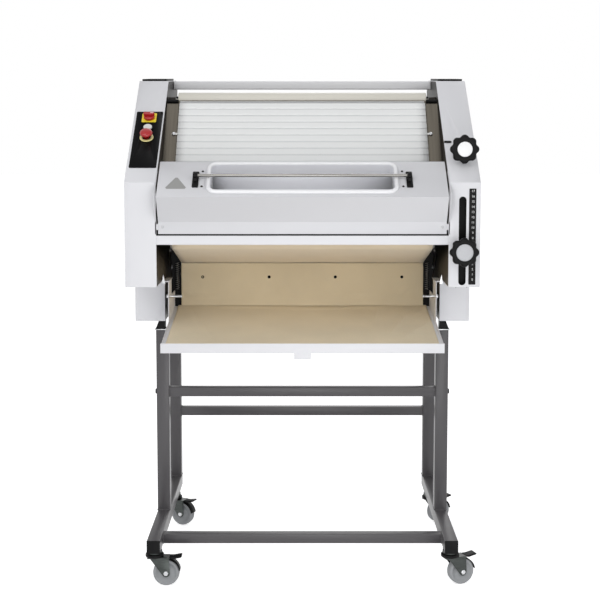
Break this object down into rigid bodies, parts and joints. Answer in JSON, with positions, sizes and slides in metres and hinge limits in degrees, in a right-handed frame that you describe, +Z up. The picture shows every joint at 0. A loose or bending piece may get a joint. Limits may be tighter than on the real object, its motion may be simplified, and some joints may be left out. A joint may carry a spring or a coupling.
{
  "type": "dough sheeter",
  "caption": "Upright long-loaf dough sheeter and moulder on a castered stand, with feed hopper, ribbed slide, laminating rollers, felt belt and canvas catch tray.",
  "frame": {"origin": "middle of the footprint, on the floor", "axes": "+Z up, +X to the right of a user at the catch tray, +Y from the catch tray to the rear"},
  "size_m": [1.063, 0.775, 1.54],
  "materials": {
    "stand_paint": "semi-gloss grey powder coat",
    "white_paint": "satin white powder coat",
    "frame_steel": "plain steel plate",
    "bed_steel": "stainless sheet",
    "zinc": "zinc plated",
    "roller_cream": "cream food-grade plastic",
    "roller_grey": "tube roller, drawn solid",
    "felt": "wool felt",
    "canvas": "plain linen canvas",
    "board_wood": "board faced with canvas",
    "black_plastic": "black moulded plastic",
    "panel_black": "black control plate",
    "red_plastic": "red control plastic",
    "button_grey": "pale button",
    "wheel_grey": "grey wheel",
    "motor_grey": "cast housing",
    "chain_steel": "oiled steel"
  },
  "bodies": {
    "machine": {"foot_bar_left": "stand_paint", "foot_cap_left": "black_plastic", "front_post_left": "stand_paint", "rear_post_left": "stand_paint", "machine_mount_front_left": "black_plastic", "machine_mount_rear_left": "black_plastic", "foot_bar_right": "stand_paint", "foot_cap_right": "black_plastic", "front_post_right": "stand_paint", "rear_post_right": "stand_paint", "machine_mount_front_right": "black_plastic", "machine_mount_rear_right": "black_plastic", "lower_crossbar": "stand_paint", "upper_crossbar": "stand_paint", "rear_crossbar": "stand_paint", "side_frame_left": "frame_steel", "side_frame_right": "frame_steel", "side_cover_left": "white_paint", "side_cover_right": "white_paint", "top_beam": "white_paint", "front_band": "white_paint", "back_panel": "white_paint", "front_guard": "white_paint", "ribbed_slide": "white_paint", "slide_bed": "bed_steel", "felt_belt": "felt", "curling_mesh": "bed_steel", "control_panel": "panel_black", "gear_motor": "motor_grey", "drive_chain": "chain_steel"},
    "belt_drive": {"belt_roller_rear": "roller_grey", "belt_sprocket": "chain_steel"},
    "belt_nose": {"belt_roller_front": "roller_grey"},
    "laminating_front": {"laminating_roller_front": "roller_cream"},
    "roller_carriage": {"roller_carriage": "frame_steel"},
    "laminating_rear": {"laminating_roller_rear": "roller_cream"},
    "motor_sprocket": {"motor_sprocket": "chain_steel"},
    "top_roller": {"top_roller": "roller_cream"},
    "pressing_board": {"pressing_board": "board_wood"},
    "height_slider": {"height_slider": "bed_steel"},
    "lower_knob": {"lower_knob": "black_plastic"},
    "upper_knob": {"upper_knob": "black_plastic"},
    "safety_bar": {"safety_bar": "frame_steel"},
    "main_switch": {"main_switch_knob": "red_plastic"},
    "start_button": {"start_button": "button_grey"},
    "stop_button": {"stop_button": "red_plastic"},
    "catch_tray": {"catch_tray": "white_paint", "catch_canvas": "canvas"},
    "fork_front_left": {"caster_fork_front_left": "zinc"},
    "wheel_front_left": {"caster_wheel_front_left": "wheel_grey"},
    "pedal_front_left": {"brake_pedal_front_left": "black_plastic"},
    "fork_front_right": {"caster_fork_front_right": "zinc"},
    "wheel_front_right": {"caster_wheel_front_right": "wheel_grey"},
    "pedal_front_right": {"brake_pedal_front_right": "black_plastic"},
    "fork_rear_left": {"caster_fork_rear_left": "zinc"},
    "wheel_rear_left": {"caster_wheel_rear_left": "wheel_grey"},
    "pedal_rear_left": {"brake_pedal_rear_left": "black_plastic"},
    "fork_rear_right": {"caster_fork_rear_right": "zinc"},
    "wheel_rear_right": {"caster_wheel_rear_right": "wheel_grey"},
    "pedal_rear_right": {"brake_pedal_rear_right": "black_plastic"}
  },
  "joints": [
    {"name": "belt_drive_spin", "type": "hinge", "parent": "machine", "child": "belt_drive", "pos_m": [0, 0.2875, 0.93], "axis": [1, 0, 0], "continuous": true},
    {"name": "belt_nose_spin", "type": "hinge", "parent": "machine", "child": "belt_nose", "pos_m": [0, -0.2375, 1.044], "axis": [1, 0, 0], "continuous": true},
    {"name": "laminating_front_spin", "type": "hinge", "parent": "machine", "child": "laminating_front", "pos_m": [0, -0.2675, 1.122], "axis": [1, 0, 0], "continuous": true},
    {"name": "roller_gap", "type": "slide", "parent": "machine", "child": "roller_carriage", "axis": [0, 1, 0], "range_m": [-0.006, 0.01]},
    {"name": "laminating_rear_spin", "type": "hinge", "parent": "roller_carriage", "child": "laminating_rear", "pos_m": [0, -0.1845, 1.13], "axis": [1, 0, 0], "continuous": true},
    {"name": "motor_sprocket_spin", "type": "hinge", "parent": "machine", "child": "motor_sprocket", "pos_m": [0, 0.2075, 1.2], "axis": [1, 0, 0], "continuous": true},
    {"name": "top_roller_spin", "type": "hinge", "parent": "machine", "child": "top_roller", "pos_m": [0, 0.0725, 1.463], "axis": [1, 0, 0], "continuous": true},
    {"name": "board_lift", "type": "slide", "parent": "machine", "child": "pressing_board", "axis": [0, 0, 1], "range_m": [-0.0174, 0.009]},
    {"name": "height_slide", "type": "slide", "parent": "machine", "child": "height_slider", "axis": [0, 0, 1], "range_m": [-0.075, 0.145]},
    {"name": "lower_knob_turn", "type": "hinge", "parent": "height_slider", "child": "lower_knob", "pos_m": [0.478, -0.3625, 1.013], "axis": [0, -1, 0], "range_deg": [-90, 180]},
    {"name": "upper_knob_turn", "type": "hinge", "parent": "machine", "child": "upper_knob", "pos_m": [0.487, -0.2705, 1.315], "axis": [0, -1, 0], "range_deg": [-150, 250]},
    {"name": "safety_bar_tilt", "type": "hinge", "parent": "machine", "child": "safety_bar", "pos_m": [0, -0.28899, 1.23564], "axis": [-1, 0, 0], "range_deg": [0, 10], "stiffness_Nm_per_rad": 2},
    {"name": "main_switch_turn", "type": "hinge", "parent": "machine", "child": "main_switch", "pos_m": [-0.4825, -0.06688, 1.40777], "axis": [0, -0.6134, 0.7898], "range_deg": [-90, 0]},
    {"name": "start_press", "type": "slide", "parent": "machine", "child": "start_button", "axis": [0, 0.6134, -0.7898], "range_m": [0, 0.003], "stiffness_N_per_m": 400},
    {"name": "stop_press", "type": "slide", "parent": "machine", "child": "stop_button", "axis": [0, 0.6134, -0.7898], "range_m": [0, 0.005], "stiffness_N_per_m": 400},
    {"name": "tray_pull", "type": "slide", "parent": "machine", "child": "catch_tray", "axis": [0, -1, 0], "range_m": [0, 0.25]},
    {"name": "swivel_front_left", "type": "hinge", "parent": "machine", "child": "fork_front_left", "pos_m": [-0.447, -0.3495, 0.095], "axis": [0, 0, 1], "continuous": true},
    {"name": "wheel_spin_front_left", "type": "hinge", "parent": "fork_front_left", "child": "wheel_front_left", "pos_m": [-0.412, -0.3495, 0.04], "axis": [0, 1, 0], "continuous": true},
    {"name": "pedal_press_front_left", "type": "hinge", "parent": "fork_front_left", "child": "pedal_front_left", "pos_m": [-0.4017, -0.3495, 0.0845], "axis": [0, 1, 0], "range_deg": [0, 18]},
    {"name": "swivel_front_right", "type": "hinge", "parent": "machine", "child": "fork_front_right", "pos_m": [0.447, -0.3495, 0.095], "axis": [0, 0, 1], "continuous": true},
    {"name": "wheel_spin_front_right", "type": "hinge", "parent": "fork_front_right", "child": "wheel_front_right", "pos_m": [0.47989, -0.33753, 0.04], "axis": [-0.342, 0.9397, 0], "continuous": true},
    {"name": "pedal_press_front_right", "type": "hinge", "parent": "fork_front_right", "child": "pedal_front_right", "pos_m": [0.48957, -0.33401, 0.0845], "axis": [-0.342, 0.9397, 0], "range_deg": [0, 18]},
    {"name": "swivel_rear_left", "type": "hinge", "parent": "machine", "child": "fork_rear_left", "pos_m": [-0.447, 0.2455, 0.095], "axis": [0, 0, 1], "continuous": true},
    {"name": "wheel_spin_rear_left", "type": "hinge", "parent": "fork_rear_left", "child": "wheel_rear_left", "pos_m": [-0.41528, 0.23071, 0.04], "axis": [0.4226, 0.9063, 0], "continuous": true},
    {"name": "pedal_press_rear_left", "type": "hinge", "parent": "fork_rear_left", "child": "pedal_rear_left", "pos_m": [-0.40594, 0.22636, 0.0845], "axis": [0.4226, 0.9063, 0], "range_deg": [0, 18]},
    {"name": "swivel_rear_right", "type": "hinge", "parent": "machine", "child": "fork_rear_right", "pos_m": [0.447, 0.2455, 0.095], "axis": [0, 0, 1], "continuous": true},
    {"name": "wheel_spin_rear_right", "type": "hinge", "parent": "fork_rear_right", "child": "wheel_rear_right", "pos_m": [0.47731, 0.263, 0.04], "axis": [-0.5, 0.866, 0], "continuous": true},
    {"name": "pedal_press_rear_right", "type": "hinge", "parent": "fork_rear_right", "child": "pedal_rear_right", "pos_m": [0.48623, 0.26815, 0.0845], "axis": [-0.5, 0.866, 0], "range_deg": [0, 18]}
  ],
  "couplings": [
    {"joint": "belt_nose_spin", "follows": "belt_drive_spin", "ratio": 1.5},
    {"joint": "laminating_front_spin", "follows": "belt_drive_spin", "ratio": 1.4211},
    {"joint": "laminating_rear_spin", "follows": "belt_drive_spin", "ratio": -1.4211},
    {"joint": "motor_sprocket_spin", "follows": "belt_drive_spin", "ratio": 1.3333},
    {"joint": "height_slide", "follows": "board_lift", "ratio": -8.333},
    {"joint": "upper_knob_turn", "follows": "roller_gap", "rad_per_m": 436}
  ]
}
